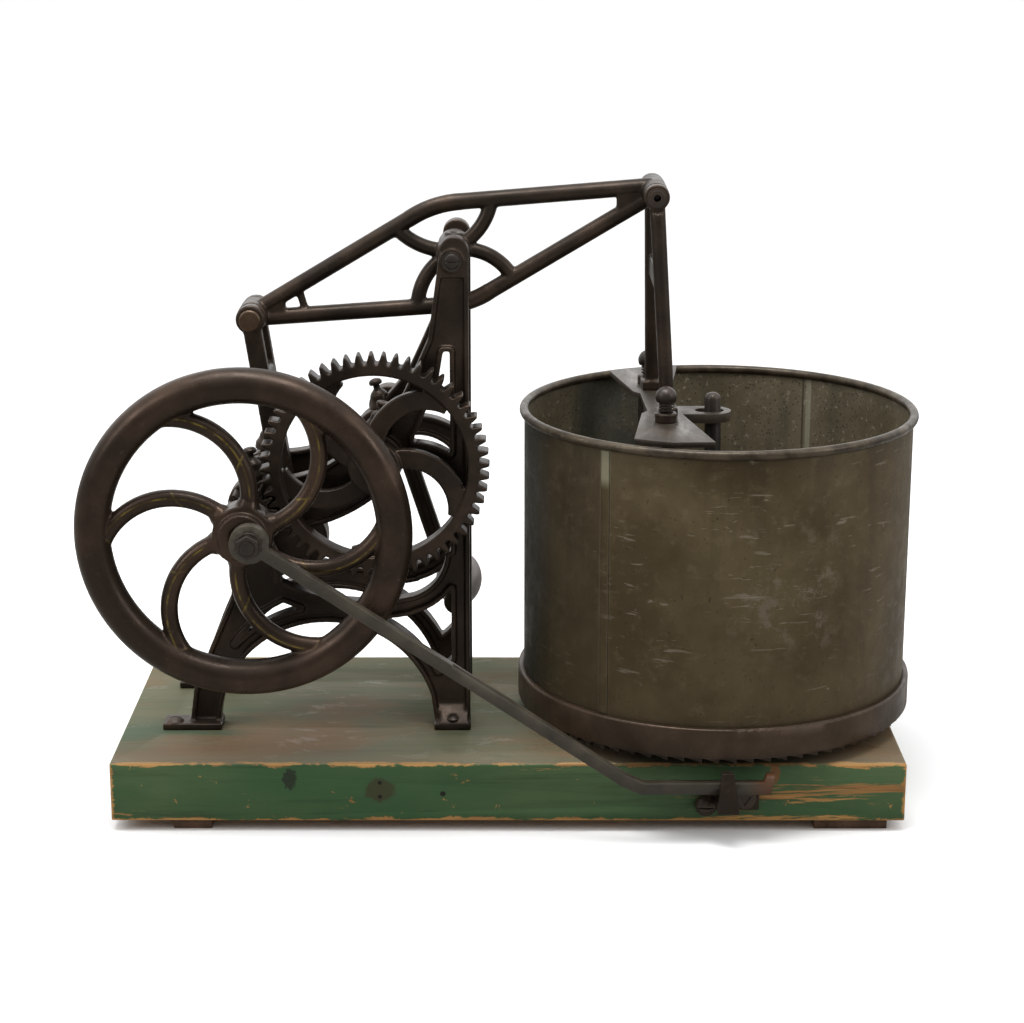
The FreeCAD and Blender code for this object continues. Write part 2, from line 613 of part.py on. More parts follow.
def walking_beam():
    """Cast open truss of round bars: two chords, four curved arms and three bosses."""
    left, right = BEAM_LEFT, BEAM_RIGHT
    top_start, top_bend, top_end = (-73.8, 434.2), (-54.8, 443.6), (-35.0, 447.4)
    low_start, low_bend, low_end = (-42.0, 370.4), (-28.0, 373.4), (-14.0, 380.4)
    bend_radius = CHORD_RADIUS + 0.2
    bury = 2.0
    web_half = 4.6
    bars = [
        round_bar((left[0] + 4, left[1] + 4), beyond(left, top_start, bury), CHORD_RADIUS),
        bowed_round_bar(top_start, top_bend, top_end, bend_radius),
        round_bar(beyond(right, top_end, bury), (right[0] - 2, right[1] + 4), CHORD_RADIUS),
        round_bar((left[0] + 6, left[1] - 2.5), beyond(left, low_start, bury), CHORD_RADIUS),
        bowed_round_bar(low_start, low_bend, low_end, bend_radius),
        round_bar(beyond(right, low_end, bury), (right[0] - 2, right[1] - 3), CHORD_RADIUS),
        bowed_round_bar((-83.0, 428.0), (-68.8, 417.0), (-46, 411), ARM_RADIUS),
        bowed_round_bar((-12.5, 449.5), (-19.0, 431.0), (-36, 415), ARM_RADIUS),
        bowed_round_bar((3.5, 390.5), (-13.2, 407.0), (-36, 412), ARM_RADIUS),
        bowed_round_bar((-67.5, 369.5), (-62.4, 389.5), (-44, 408), ARM_RADIUS),
        round_bar((-151.0, 364), (-156.5, 383.5), 2.6),
    ]
    webs = [plate([(left[0] + 2, 356), (-167, 362), (-166.5, 375), (left[0] + 2, 371)], -web_half, web_half),
            plate([(80.5, 441), (right[0], 455), (right[0], 460), (80.5, 455)], -web_half, web_half)]
    bosses = [
        rod_y(PIVOT, HUB_RADIUS, -HUB_HALF, HUB_HALF),
        rod_y(left, 10.8, -13.5, 13.5),
        rod_y(right, 9.2, -FORK_EYE_INNER + 0.6, FORK_EYE_INNER - 0.6),
        rod_z(PIVOT[0], 0, 6.4, PIVOT[1] + 7, OILER_TOP),
    ]
    beam = union(bars + webs + bosses)
    beam = beam.cut(rod_z(PIVOT[0], 0, 2.6, PIVOT[1] + 7.5, OILER_TOP + 1))
    beam = beam.cut(rod_y(PIVOT, PIN_RADIUS + 1 + RUNNING, -HUB_HALF - 1, HUB_HALF + 1))
    beam = beam.cut(rod_y(left, PIN_RADIUS, -20, 20))
    return beam.cut(rod_y(right, PIN_RADIUS, -40, 40))


def left_pin():
    pin = rod_y(BEAM_LEFT, PIN_RADIUS, -26.5, 26.5)
    head = turned([(0, 0), (0, 8.0), (1.8, 8.0), (2.6, 7.0), (2.6, 0)], at(BEAM_LEFT[0], -26.5, BEAM_LEFT[1]),
                  at(0, -1, 0))
    tail = rod_y(BEAM_LEFT, 7.0, 26.5, 28.5)
    return union([pin, head, tail])


def right_pin():
    """Pin through the beam's nose: stepped rings and a centre hole show in front."""
    front = -FORK_EYE_OUTER - 0.4
    pin = rod_y(BEAM_RIGHT, PIN_RADIUS, front, FORK_EYE_OUTER + 0.4)
    rings = turned([(0, 0), (0, 7.2), (1.2, 7.2), (1.2, 5.6), (2.4, 5.6), (2.4, 0)],
                   at(BEAM_RIGHT[0], front, BEAM_RIGHT[1]), at(0, -1, 0))
    tail = rod_y(BEAM_RIGHT, 7.0, FORK_EYE_OUTER + 0.4, FORK_EYE_OUTER + 2.4)
    return union([pin, rings, tail]).cut(rod_y(BEAM_RIGHT, 2.7, front - 3, front + 12))


def pitman():
    """Connecting rod: a fork astride the beam's tail, a flat shank and a round big end."""
    top, low = BEAM_LEFT, CRANK_PIN
    dx, dz = low[0] - top[0], low[1] - top[1]
    join = (top[0] + dx * 0.30, top[1] + dz * 0.30)
    prongs = []
    for y0, y1 in ((-24.5, -14.5), (14.5, 24.5)):
        prongs.append(union([rod_y(top, 10.7, y0, y1), strap(top, join, 13.0, y0, y1)]))
    bridge = strap((top[0] + dx * 0.26, top[1] + dz * 0.26), (top[0] + dx * 0.35, top[1] + dz * 0.35), 13.0,
                   -24.5, 24.5)
    shank = strap((top[0] + dx * 0.30, top[1] + dz * 0.30), low, 16.0, -8, 8)
    big_end = rod_y(low, 27.0, -11, 11)
    rod = union(prongs + [bridge, shank, big_end])
    rod = rod.cut(rod_y(top, PIN_RADIUS + RUNNING, -30, 30))
    return rod.cut(rod_y(low, 9.0, -20, 20))


def crank_pin():
    """The pin stays with the pitman; it ends just clear of the two crank cheeks."""
    reach = WEB_INNER - 0.4
    return union([rod_y(CRANK_PIN, 9.0, -reach, reach), rod_y(CRANK_PIN, 13.0, 11, 14),
                  rod_y(CRANK_PIN, 13.0, -14, -11)])


# ---------------------------------------------------------------- chopper


def fork_leg(side):
    """One leg of the fork: eye on the beam's nose, round tapered rod, foot and adjuster boss."""
    inner, outer = FORK_EYE_INNER * side, FORK_EYE_OUTER * side
    eye = rod_y(BEAM_RIGHT, 9.2, min(inner, outer), max(inner, outer))
    top = at(BEAM_RIGHT[0], side * (FORK_EYE_INNER + 4.8), BEAM_RIGHT[1])
    foot = at(FORK_FOOT[0] - side * FOOT_TWIST, side * FORK_FOOT_Y, FORK_FOOT[1] + 1.5)
    leg = Part.makeCone(5.6, 5.2, (foot - top).Length, top, foot - top)
    leg = leg.cut(rod_y(BEAM_RIGHT, 12, min(outer, outer + side * 4), max(outer, outer + side * 4)))
    screw = adjuster_place(side)
    base = block(foot.x - 7, foot.x + 7, foot.y - 7, foot.y + 7, PLATE_TOP, PLATE_TOP + 7)
    boss = rod_z(screw[0], screw[1], 8.0, PLATE_TOP, PLATE_TOP + 7)
    shelf = block(screw[0] - 6, screw[0] + 6, min(foot.y, screw[1]), max(foot.y, screw[1]), PLATE_TOP, PLATE_TOP + 6)
    return [eye, leg, base, boss, shelf]


def adjuster_place(side):
    return HEAD_X - side * ADJUSTER_TWIST, side * ADJUSTER_Y


def chopper_fork():
    """Fork casting: two legs joined by a cross web high up and by bosses at the crosshead."""
    pieces = fork_leg(-1) + fork_leg(1)
    pieces.append(block(107.0, 115.0, -39, 39, 387, 403))
    fork = union(pieces)
    fork = fork.cut(rod_y(BEAM_RIGHT, PIN_RADIUS + RUNNING, -60, 60))
    for side in (-1, 1):
        x, y = adjuster_place(side)
        fork = fork.cut(rod_z(x, y, 3.4, PLATE_TOP - 1, PLATE_TOP + 10))
    return fork


def twisted(shape):
    """Turn about the upright line through the fork's foot, as the real head has worked round."""
    turned_shape = shape.copy()
    turned_shape.rotate(at(HEAD_X, 0, 0), at(0, 0, 1), PLATE_TWIST)
    return turned_shape


def crosshead():
    """Bow-tie plate, its ends curved like the drum, with a low arm that slides on the post."""
    z0 = PLATE_TOP - PLATE_THICKNESS
    half = [(9.5, 30), (14.5, 38), (29.0, 130)]
    outline = [(HEAD_X + w, y) for w, y in half] + [(HEAD_X - w, y) for w, y in reversed(half)]
    outline += [(2 * HEAD_X - px, -py) for px, py in outline]
    points = [at(px, py, z0) for px, py in outline]
    bow = Part.Face(Part.makePolygon(points + points[:1])).extrude(at(0, 0, PLATE_THICKNESS))
    bow = twisted(bow).common(rod_z(DRUM_X, 0, PLATE_REACH, z0 - 1, PLATE_TOP + 1))
    eye_x = DRUM_X + POST_LEAN
    neck = block(HEAD_X - 9, HEAD_X + 14, -14, 14, ARM_BOTTOM, z0)
    arm = block(HEAD_X - 9, eye_x, -14, 14, ARM_BOTTOM, ARM_TOP)
    head = union([bow, neck, arm, rod_z(eye_x, 0, 14, ARM_BOTTOM, ARM_TOP)])
    clear = POST_RADIUS + 0.5
    for x in (eye_x - SLOT_BACK, eye_x + SLOT_AHEAD):
        head = head.cut(rod_z(x, 0, clear, ARM_BOTTOM - 1, ARM_TOP + 1))
    head = head.cut(block(eye_x - SLOT_BACK, eye_x + SLOT_AHEAD, -clear, clear, ARM_BOTTOM - 1, ARM_TOP + 1))
    for side in (-1, 1):
        x, y = adjuster_place(side)
        head = head.cut(rod_z(x, y, 3.4, z0 - 1, PLATE_TOP + 1))
    return head


def adjusting_screws():
    """Round-head screws with ringed threads, one outboard of each fork leg."""
    screws = []
    for side in (-1, 1):
        x, y = adjuster_place(side)
        base = PLATE_TOP + 15.0
        ball = Part.makeSphere(7.8, at(x, y, base + 3.6)).common(rod_z(x, y, 9, base, base + 20))
        ball = ball.cut(block(x - 9, x + 9, y - 0.9, y + 0.9, base + 8.4, base + 12))
        shank = rod_z(x, y, 3.4, PLATE_TOP - 12, base + 1)
        threads = [rod_z(x, y, 5.2, base - 6.6 + 2.2 * k, base - 5.3 + 2.2 * k) for k in range(3)]
        screws.append(union([ball, shank] + threads))
    return screws


def knife_blade():
    """Straight blade with a ground lower edge, lying along a chord of the drum."""
    x = HEAD_X
    profile = [(x - 1.6, KNIFE_TOP), (x + 1.6, KNIFE_TOP), (x + 1.6, KNIFE_BOTTOM + 12), (x + 0.2, KNIFE_BOTTOM),
               (x - 0.2, KNIFE_BOTTOM), (x - 1.6, KNIFE_BOTTOM + 12)]
    return twisted(plate(profile, -KNIFE_HALF_LENGTH, KNIFE_HALF_LENGTH))


def knife_hangers():
    """Two forked hangers that grip the blade and are screwed up under the crosshead."""
    hangers = []
    x = HEAD_X
    for y in (-84.0, 84.0):
        stem = block(x - 5, x + 5, y - 11, y + 11, KNIFE_TOP - 20, PLATE_TOP - PLATE_THICKNESS)
        slot = block(x - 1.6, x + 1.6, y - 12, y + 12, KNIFE_TOP - 21, KNIFE_TOP)
        hangers.append(twisted(stem.cut(slot)))
    return hangers


def knife_rivets():
    x = HEAD_X
    rivets = []
    for y in (-84.0, 84.0):
        head = Part.makeCylinder(4.0, 2.0, at(x - 7, y, KNIFE_TOP - 9), at(1, 0, 0))
        tail = Part.makeCylinder(4.0, 2.0, at(x + 5, y, KNIFE_TOP - 9), at(1, 0, 0))
        rivets += [twisted(head), twisted(tail)]
    return rivets


# ---------------------------------------------------------------- drum


def ring_z(outer, inner, z0, z1):
    return rod_z(DRUM_X, 0, outer, z0, z1).cut(rod_z(DRUM_X, 0, inner, z0 - 1, z1 + 1))


def ratchet_tooth(k):
    """Saw tooth under the band: a ramp that falls to a steep face."""
    step = 2 * math.pi / RATCHET_TEETH
    radius = BAND_RADIUS - 2.5
    a0, a1 = k * step, (k + 1) * step

    def corner(r, a, z):
        return at(DRUM_X + r * math.cos(a), r * math.sin(a), z)

    low = BAND_BOTTOM - RATCHET_DEPTH
    high = BAND_BOTTOM + 0.5
    outer = [corner(radius, a0, high), corner(radius, a1, high), corner(radius, a1, low), corner(radius, a0, high - 0.7)]
    inner = [corner(radius - 12, a0, high), corner(radius - 12, a1, high), corner(radius - 12, a1, low),
             corner(radius - 12, a0, high - 0.7)]
    return Part.makeLoft([Part.makePolygon(outer + outer[:1]), Part.makePolygon(inner + inner[:1])], True, True)


def drum_base():
    """Cast pan: flat floor, outside band with a rounded lip, hub, and face teeth underneath."""
    band = ring_z(BAND_RADIUS, DRUM_RADIUS + 0.3, BAND_BOTTOM, BAND_TOP)
    lip = [e for e in band.Edges if e.BoundBox.ZMin > BAND_TOP - 0.1 and e.BoundBox.XLength > 2 * BAND_RADIUS - 1]
    band = band.makeFillet(2.0, lip)
    floor = rod_z(DRUM_X, 0, BAND_RADIUS - 1, BAND_BOTTOM, FLOOR_TOP - 1.2)
    hub = rod_z(DRUM_X, 0, 19.0, BOARD_TOP + 6.5, BLOCK_TOP + 4)
    pan = union([band, floor, hub])
    teeth = [ratchet_tooth(k) for k in range(RATCHET_TEETH)]
    pan = union([pan] + teeth)
    return pan.cut(rod_z(DRUM_X, 0, POST_RADIUS + RUNNING, BOARD_TOP, BLOCK_TOP + 5))


def drum_shell():
    """Sheet-metal wall with its own sheet floor, standing inside the band."""
    wall = ring_z(DRUM_RADIUS, DRUM_RADIUS - DRUM_SHEET, FLOOR_TOP - 1.2, DRUM_RIM_Z)
    floor = rod_z(DRUM_X, 0, DRUM_RADIUS, FLOOR_TOP - 1.2, FLOOR_TOP)
    return union([wall, floor]).cut(rod_z(DRUM_X, 0, 19.0, FLOOR_TOP - 3, FLOOR_TOP + 3))


def rim_wire():
    middle = BAND_RADIUS - 0.8 - RIM_WIRE_RADIUS
    wire = Part.makeTorus(middle, RIM_WIRE_RADIUS, at(DRUM_X, 0, DRUM_RIM_Z), at(0, 0, 1))
    return wire.cut(ring_z(DRUM_RADIUS, DRUM_RADIUS - DRUM_SHEET, FLOOR_TOP, DRUM_RIM_Z))


def shell_seam():
    """Lapped and soldered upright seam on the outside, with a blob of solder at the rim."""
    spot = 232.5
    strip = ring_z(DRUM_RADIUS + 0.8, DRUM_RADIUS, BAND_TOP + 0.5, DRUM_RIM_Z - 4)
    wedge = Part.makeBox(200, 7, 300, at(0, -3.5, 0))
    wedge.rotate(at(0, 0, 0), at(0, 0, 1), spot)
    wedge.translate(at(DRUM_X, 0, 0))
    return strip.common(wedge)


def chopping_block():
    block_disc = ring_z(DRUM_RADIUS - DRUM_SHEET - 1.5, 19.3, FLOOR_TOP, BLOCK_TOP)
    upper = [e for e in block_disc.Edges if e.BoundBox.ZMin > BLOCK_TOP - 0.1]
    return block_disc.makeFillet(1.5, upper)


NODES = {
    "base_board": base_board,
    "base_battens": base_battens,
    "front_frame": lambda: main_frame(-1),
    "rear_frame": lambda: main_frame(1),
    "foot_screws": foot_screws,
    "bearing_oilers": bearing_oilers,
    "beam_pivot": beam_pivot,
    "pivot_nut": pivot_nut,
    "centre_post": centre_post,
    "pivot_plate": pivot_plate,
    "pivot_plate_screws": pivot_plate_screws,
    "rod_bracket": rod_bracket,
    "bracket_screws": bracket_screws,
    "drive_gear": drive_gear,
    "gear_shaft": gear_shaft,
    "shaft_collar": shaft_collar,
    "crank_arm": crank_arm,
    "crank_nut": crank_nut,
    "handle_pin": handle_pin,
    "handle_grip": handle_grip,
    "flywheel": flywheel,
    "flywheel_shaft": flywheel_shaft,
    "pinion": pinion,
    "front_web": front_web,
    "rear_web": rear_web,
    "eccentric_stud": eccentric_stud,
    "stud_washer": stud_washer,
    "stud_nut": stud_nut,
    "feed_rod": feed_rod,
    "walking_beam": walking_beam,
    "left_pin": left_pin,
    "right_pin": right_pin,
    "pitman": pitman,
    "crank_pin": crank_pin,
    "chopper_fork": chopper_fork,
    "crosshead": crosshead,
    "adjusting_screws": adjusting_screws,
    "knife_blade": knife_blade,
    "knife_hangers": knife_hangers,
    "knife_rivets": knife_rivets,
    "drum_base": drum_base,
    "drum_shell": drum_shell,
    "rim_wire": rim_wire,
    "shell_seam": shell_seam,
    "chopping_block": chopping_block,
}


def write(name, shape):
    solids = []
    for piece in (shape if isinstance(shape, list) else [shape]):
        solids.extend(piece.Solids)
    group = Part.makeCompound(solids) if len(solids) > 1 else solids[0]
    group.translate(ENVELOPE_SHIFT)
    group.exportStep("parts/" + name + ".step")


os.makedirs("parts", exist_ok=True)
for node, builder in NODES.items():
    write(node, builder())
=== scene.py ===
import bpy
import json
import math
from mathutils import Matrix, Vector


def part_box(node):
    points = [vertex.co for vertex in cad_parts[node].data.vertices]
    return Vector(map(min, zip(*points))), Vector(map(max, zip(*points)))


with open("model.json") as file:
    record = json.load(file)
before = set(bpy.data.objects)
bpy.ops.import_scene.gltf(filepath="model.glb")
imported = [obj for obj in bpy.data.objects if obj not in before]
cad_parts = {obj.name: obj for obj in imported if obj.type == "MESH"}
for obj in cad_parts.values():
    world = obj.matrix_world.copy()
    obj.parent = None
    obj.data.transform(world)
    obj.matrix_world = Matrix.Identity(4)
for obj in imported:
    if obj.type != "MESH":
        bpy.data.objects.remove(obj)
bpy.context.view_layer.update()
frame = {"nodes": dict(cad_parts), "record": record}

# ---------------------------------------------------------------- places taken from the frame

MM = 0.001


def centre_of(node):
    low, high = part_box(node)
    return (low + high) / 2


WHEEL = centre_of("flywheel")
DRUM = centre_of("drum_shell")
DRUM_LOW, DRUM_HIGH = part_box("drum_shell")
BOARD_LOW, BOARD_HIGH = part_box("base_board")
BOARD = centre_of("base_board")
DRUM_RADIUS = (DRUM_HIGH.x - DRUM_LOW.x) / 2
RIM_HEIGHT = (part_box("rim_wire")[0].z - DRUM_LOW.z) / MM
BAND_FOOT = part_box("drum_base")[0].z
ROD_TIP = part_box("feed_rod")[1].x

# Bearings round the drum in degrees: 0 at the front, positive towards the right.
SEAM_ANGLE = -37.5
INNER_SEAM_ANGLE = 145.0
WORN_ANGLE = 16.0
WORN_HEIGHT = 118.0  # millimetres above the foot of the shell
# inner back wall: a stain darkened further by painted shadow
STAIN_AND_SHADOW_ANGLE = -148.0

# The same bearings in radians, as (where the darkening starts, where it is full): a stain beside the
# seam; painted shade down the left side. Both run on to the drum's back and end in a straight edge.
BESIDE_SEAM = (-0.62, -0.70)
SHADED_LEFT_SIDE = (-1.02, -1.32)

# ---------------------------------------------------------------- yellow line down each flywheel spoke

SPOKES = 6
SPOKE_END = 8.5
SPOKE_LINE = ((14 * MM, -50.0), (62 * MM, -33.0), (104.7 * MM, 0.0))  # radius, lag in degrees
LINE_OFFSET = 1.0 * MM


def spoke_point(k, radius, lag):
    angle = math.radians(SPOKE_END + 360.0 / SPOKES * k + lag)
    return WHEEL.x + radius * math.cos(angle), WHEEL.z + radius * math.sin(angle)


# ---------------------------------------------------------------- shader building blocks


class Paint:
    """Small helper that wires one Principled material out of named nodes."""

    def __init__(self, name):
        self.material = bpy.data.materials.new(name)
        self.material.use_nodes = True
        self.tree = self.material.node_tree
        self.shader = self.tree.nodes["Principled BSDF"]
        self.where = self.tree.nodes.new("ShaderNodeTexCoord").outputs["Object"]

    def node(self, kind, **settings):
        made = self.tree.nodes.new("ShaderNode" + kind)
        for key, value in settings.items():
            setattr(made, key, value)
        return made

    def feed(self, socket, value):
        if isinstance(value, bpy.types.NodeSocket):
            self.tree.links.new(value, socket)
        else:
            socket.default_value = value

    def math(self, operation, a, b=0.0, c=None, clamp=False):
        made = self.node("Math", operation=operation, use_clamp=clamp)
        self.feed(made.inputs[0], a)
        self.feed(made.inputs[1], b)
        if c is not None:
            self.feed(made.inputs[2], c)
        return made.outputs[0]

    def vector(self, operation, a, b=(0, 0, 0)):
        made = self.node("VectorMath", operation=operation)
        self.feed(made.inputs[0], a)
        self.feed(made.inputs[1], b)
        single = operation in ("DOT_PRODUCT", "LENGTH", "DISTANCE")
        return made.outputs["Value" if single else "Vector"]

    def stretched(self, scale):
        """Object coordinates scaled along each axis, for grain and streaks."""
        return self.vector("MULTIPLY", self.where, scale)

    def axis(self, index):
        made = self.node("SeparateXYZ")
        self.feed(made.inputs[0], self.where)
        return made.outputs[index]

    def cloud(self, scale, detail=4.0, rough=0.55, where=None, twist=0.0):
        made = self.node("TexNoise")
        self.feed(made.inputs["Vector"], where or self.where)
        made.inputs["Scale"].default_value = scale
        made.inputs["Detail"].default_value = detail
        made.inputs["Roughness"].default_value = rough
        made.inputs["Distortion"].default_value = twist
        return made.outputs["Fac"]

    def cells(self, scale, where=None, randomness=1.0):
        made = self.node("TexVoronoi")
        self.feed(made.inputs["Vector"], where or self.where)
        made.inputs["Scale"].default_value = scale
        made.inputs["Randomness"].default_value = randomness
        return made.outputs["Distance"]

    def span(self, value, low, high, out_low=0.0, out_high=1.0, smooth=True):
        """Map low..high onto out_low..out_high and hold the ends."""
        made = self.node("MapRange", interpolation_type="SMOOTHSTEP" if smooth else "LINEAR")
        self.feed(made.inputs["Value"], value)
        self.feed(made.inputs["From Min"], low)
        self.feed(made.inputs["From Max"], high)
        self.feed(made.inputs["To Min"], out_low)
        self.feed(made.inputs["To Max"], out_high)
        return made.outputs["Result"]

    def blend(self, amount, under, over, mode="MIX"):
        made = self.node("Mix", data_type="RGBA", blend_type=mode)
        self.feed(made.inputs[0], amount)
        for socket, value in ((made.inputs[6], under), (made.inputs[7], over)):
            self.feed(socket, value if isinstance(value, bpy.types.NodeSocket) else (*value, 1.0))
        return made.outputs[2]

    def edges(self, width):
        """1 on convex and concave edges within the width, 0 on open surfaces."""
        rounded = self.node("Bevel", samples=6)
        rounded.inputs["Radius"].default_value = width
        flat = self.node("NewGeometry").outputs["Normal"]
        likeness = self.vector("DOT_PRODUCT", rounded.outputs["Normal"], flat)
        return self.span(likeness, 0.995, 0.86)

    def facing(self, direction):
        """How far a surface faces one fixed direction of the object, from -1 to 1."""
        normal = self.node("NewGeometry").outputs["Normal"]
        return self.vector("DOT_PRODUCT", normal, direction)

    def bump(self, height, distance, strength=1.0, under=None):
        made = self.node("Bump")
        made.inputs["Strength"].default_value = strength
        made.inputs["Distance"].default_value = distance
        self.feed(made.inputs["Height"], height)
        if under is not None:
            self.feed(made.inputs["Normal"], under)
        return made.outputs["Normal"]

    def spot(self, centre, reach, ragged=0.0):
        """1 inside an ellipse on the XZ plane, fading out at its edge; ragged breaks the edge up."""
        shift = self.vector("SUBTRACT", self.where, (centre[0], 0, centre[1]))
        scaled = self.vector("MULTIPLY", shift, (1 / reach[0], 0, 1 / reach[1]))
        far = self.vector("LENGTH", scaled)
        if ragged:
            noise = self.math("SUBTRACT", self.cloud(260.0, 4.0, 0.7), 0.5)
            far = self.math("ADD", far, self.math("MULTIPLY", noise, ragged))
        return self.span(far, 1.05, 0.75)

    def finish(self, colour, roughness, normal=None, metallic=0.0, specular=0.5):
        self.feed(self.shader.inputs["Base Color"], colour)
        self.feed(self.shader.inputs["Roughness"], roughness)
        self.feed(self.shader.inputs["Metallic"], metallic)
        self.shader.inputs["Specular IOR Level"].default_value = specular
        if normal is not None:
            self.feed(self.shader.inputs["Normal"], normal)
        return self.material


# ---------------------------------------------------------------- materials


def iron_layers(paint, dark, brown, worn, gloss=0.30):
    """Shared body of the cast-iron finishes: patina, rust bloom, rubbed edges and fine pores."""
    patches = paint.cloud(18.0, 5.0, 0.6)
    fine = paint.cloud(190.0, 4.0, 0.65)
    grit = paint.cloud(1100.0, 2.0, 0.5)
    colour = paint.blend(paint.span(patches, 0.40, 0.68), dark, brown)
    colour = paint.blend(paint.span(fine, 0.62, 0.78, 0.0, 0.35), colour, worn)
    rubbed = paint.span(paint.cloud(60.0, 4.0, 0.6), 0.38, 0.66)
    edge = paint.math("MULTIPLY", paint.edges(1.0 * MM), rubbed)
    colour = paint.blend(paint.math("MULTIPLY", edge, 0.6), colour, worn)
    rough = paint.span(paint.cloud(45.0, 5.0, 0.6), 0.3, 0.75, gloss, gloss + 0.2)
    pores = paint.span(paint.cells(420.0), 0.22, 0.08)
    height = paint.math("ADD", paint.math("MULTIPLY", fine, 0.6), paint.math("MULTIPLY", grit, 0.25))
    height = paint.math("SUBTRACT", height, paint.math("MULTIPLY", pores, 0.35))
    return colour, rough, paint.bump(height, 0.26 * MM, 0.65), edge


def plain_metal(name, dark, brown, worn, metallic, specular=0.5):
    paint = Paint(name)
    colour, rough, normal, _ = iron_layers(paint, dark, brown, worn)
    return paint.finish(colour, rough, normal, metallic, specular)


def cast_iron():
    return plain_metal("cast_iron", (0.026, 0.019, 0.014), (0.056, 0.038, 0.027),
                       (0.13, 0.096, 0.074), metallic=0.6, specular=0.25)


def arc_through(p, m, q):
    """Centre (x, z) and radius of the circle through three points."""
    ax, az, bx, bz = m[0] - p[0], m[1] - p[1], q[0] - p[0], q[1] - p[1]
    d = 2 * (ax * bz - az * bx)
    aa, bb = ax * ax + az * az, bx * bx + bz * bz
    ux, uz = (bz * aa - az * bb) / d, (ax * bb - bx * aa) / d
    return (p[0] + ux, p[1] + uz), math.hypot(ux, uz)


def wheel_iron():
    """Cast iron of the flywheel, with what is left of a yellow line down each spoke."""
    paint = Paint("wheel_iron")
    colour, rough, normal, _ = iron_layers(paint, (0.030, 0.020, 0.014), (0.060, 0.038, 0.026),
                                           (0.14, 0.10, 0.075), gloss=0.25)
    place = paint.vector("MULTIPLY", paint.where, (1, 0, 1))
    nearest = None
    for k in range(SPOKES):
        (cx, cz), radius = arc_through(*[spoke_point(k, r, lag) for r, lag in SPOKE_LINE])
        far = paint.vector("DISTANCE", place, (cx, 0, cz))
        gap = paint.math("ABSOLUTE", paint.math("SUBTRACT", far, radius + LINE_OFFSET))
        nearest = gap if nearest is None else paint.math("MINIMUM", nearest, gap)
    reach = paint.vector("DISTANCE", place, (WHEEL.x, 0, WHEEL.z))
    past_hub = paint.span(reach, 26 * MM, 34 * MM)
    before_rim = paint.span(reach, 99 * MM, 92 * MM)
    on_spoke = paint.math("MULTIPLY", past_hub, before_rim)
    front = paint.span(paint.facing((0, -1, 0)), 0.35, 0.6)
    left = paint.span(paint.cloud(90.0, 5.0, 0.75), 0.44, 0.62, 0.15, 0.95)
    line = paint.math("MULTIPLY", paint.span(nearest, 0.95 * MM, 0.35 * MM),
                      paint.math("MULTIPLY", on_spoke, front))
    colour = paint.blend(paint.math("MULTIPLY", line, left), colour, (0.17, 0.125, 0.030))
    return paint.finish(colour, rough, normal, metallic=0.6, specular=0.25)


def shaft_steel():
    return plain_metal("shaft_steel", (0.018, 0.014, 0.011), (0.045, 0.031, 0.022),
                       (0.16, 0.13, 0.10), metallic=0.35)


def rod_steel():
    """Forged rod: dark olive-brown with a rubbed ridge, long draw marks and rust at its tip."""
    paint = Paint("rod_steel")
    along = paint.cloud(60.0, 3.0, 0.5, paint.stretched((1, 8, 1)))
    patches = paint.cloud(30.0, 5.0, 0.6)
    colour = paint.blend(paint.span(patches, 0.35, 0.7), (0.036, 0.031, 0.022), (0.066, 0.055, 0.038))
    colour = paint.blend(paint.span(along, 0.55, 0.75, 0.0, 0.5), colour, (0.022, 0.017, 0.012))
    edge = paint.math("MULTIPLY", paint.edges(1.6 * MM), paint.span(paint.cloud(50.0), 0.3, 0.6))
    colour = paint.blend(paint.math("MULTIPLY", edge, 0.5), colour, (0.15, 0.13, 0.095))
    tip = paint.math("MULTIPLY", paint.span(paint.axis(0), ROD_TIP - 22 * MM, ROD_TIP - 4 * MM),
                     paint.span(patches, 0.3, 0.55))
    colour = paint.blend(tip, colour, (0.10, 0.042, 0.018))
    rough = paint.span(patches, 0.3, 0.7, 0.34, 0.52)
    normal = paint.bump(paint.cloud(300.0, 4.0, 0.6), 0.2 * MM, 0.5)
    return paint.finish(colour, rough, normal, metallic=0.15)


def screw_steel():
    return plain_metal("screw_steel", (0.022, 0.016, 0.012), (0.050, 0.030, 0.018),
                       (0.17, 0.13, 0.095), metallic=0.3)


def bronze_pin():
    return plain_metal("bronze_pin", (0.035, 0.022, 0.013), (0.085, 0.05, 0.027),
                       (0.24, 0.155, 0.085), metallic=0.5)


def crosshead_steel():
    """Dark casting with rubbed scuffs and fine cracks towards its front end."""
    paint = Paint("crosshead_steel")
    scuffs = paint.cloud(70.0, 4.0, 0.6, paint.stretched((1, 0.25, 1)), 0.6)
    patches = paint.cloud(28.0, 5.0, 0.6)
    colour = paint.blend(paint.span(patches, 0.35, 0.7), (0.028, 0.022, 0.015), (0.054, 0.041, 0.030))
    colour = paint.blend(paint.span(scuffs, 0.56, 0.72, 0.0, 0.55), colour, (0.15, 0.125, 0.10))
    crack = paint.math("ABSOLUTE", paint.math("SUBTRACT", paint.cloud(22.0, 3.0, 0.7), 0.5))
    front_end = paint.span(paint.axis(1), DRUM.y - 96 * MM, DRUM.y - 108 * MM)
    crack = paint.math("MULTIPLY", paint.span(crack, 0.012, 0.004), front_end)
    colour = paint.blend(paint.math("MULTIPLY", crack, 0.8), colour, (0.012, 0.010, 0.008))
    edge = paint.math("MULTIPLY", paint.edges(1.0 * MM), paint.span(paint.cloud(60.0), 0.3, 0.6))
    colour = paint.blend(paint.math("MULTIPLY", edge, 0.5), colour, (0.22, 0.18, 0.145))
    rough = paint.span(scuffs, 0.3, 0.7, 0.5, 0.34)
    normal = paint.bump(paint.cloud(260.0, 4.0, 0.6), 0.3 * MM, 0.5)
    return paint.finish(colour, rough, normal, metallic=0.2)


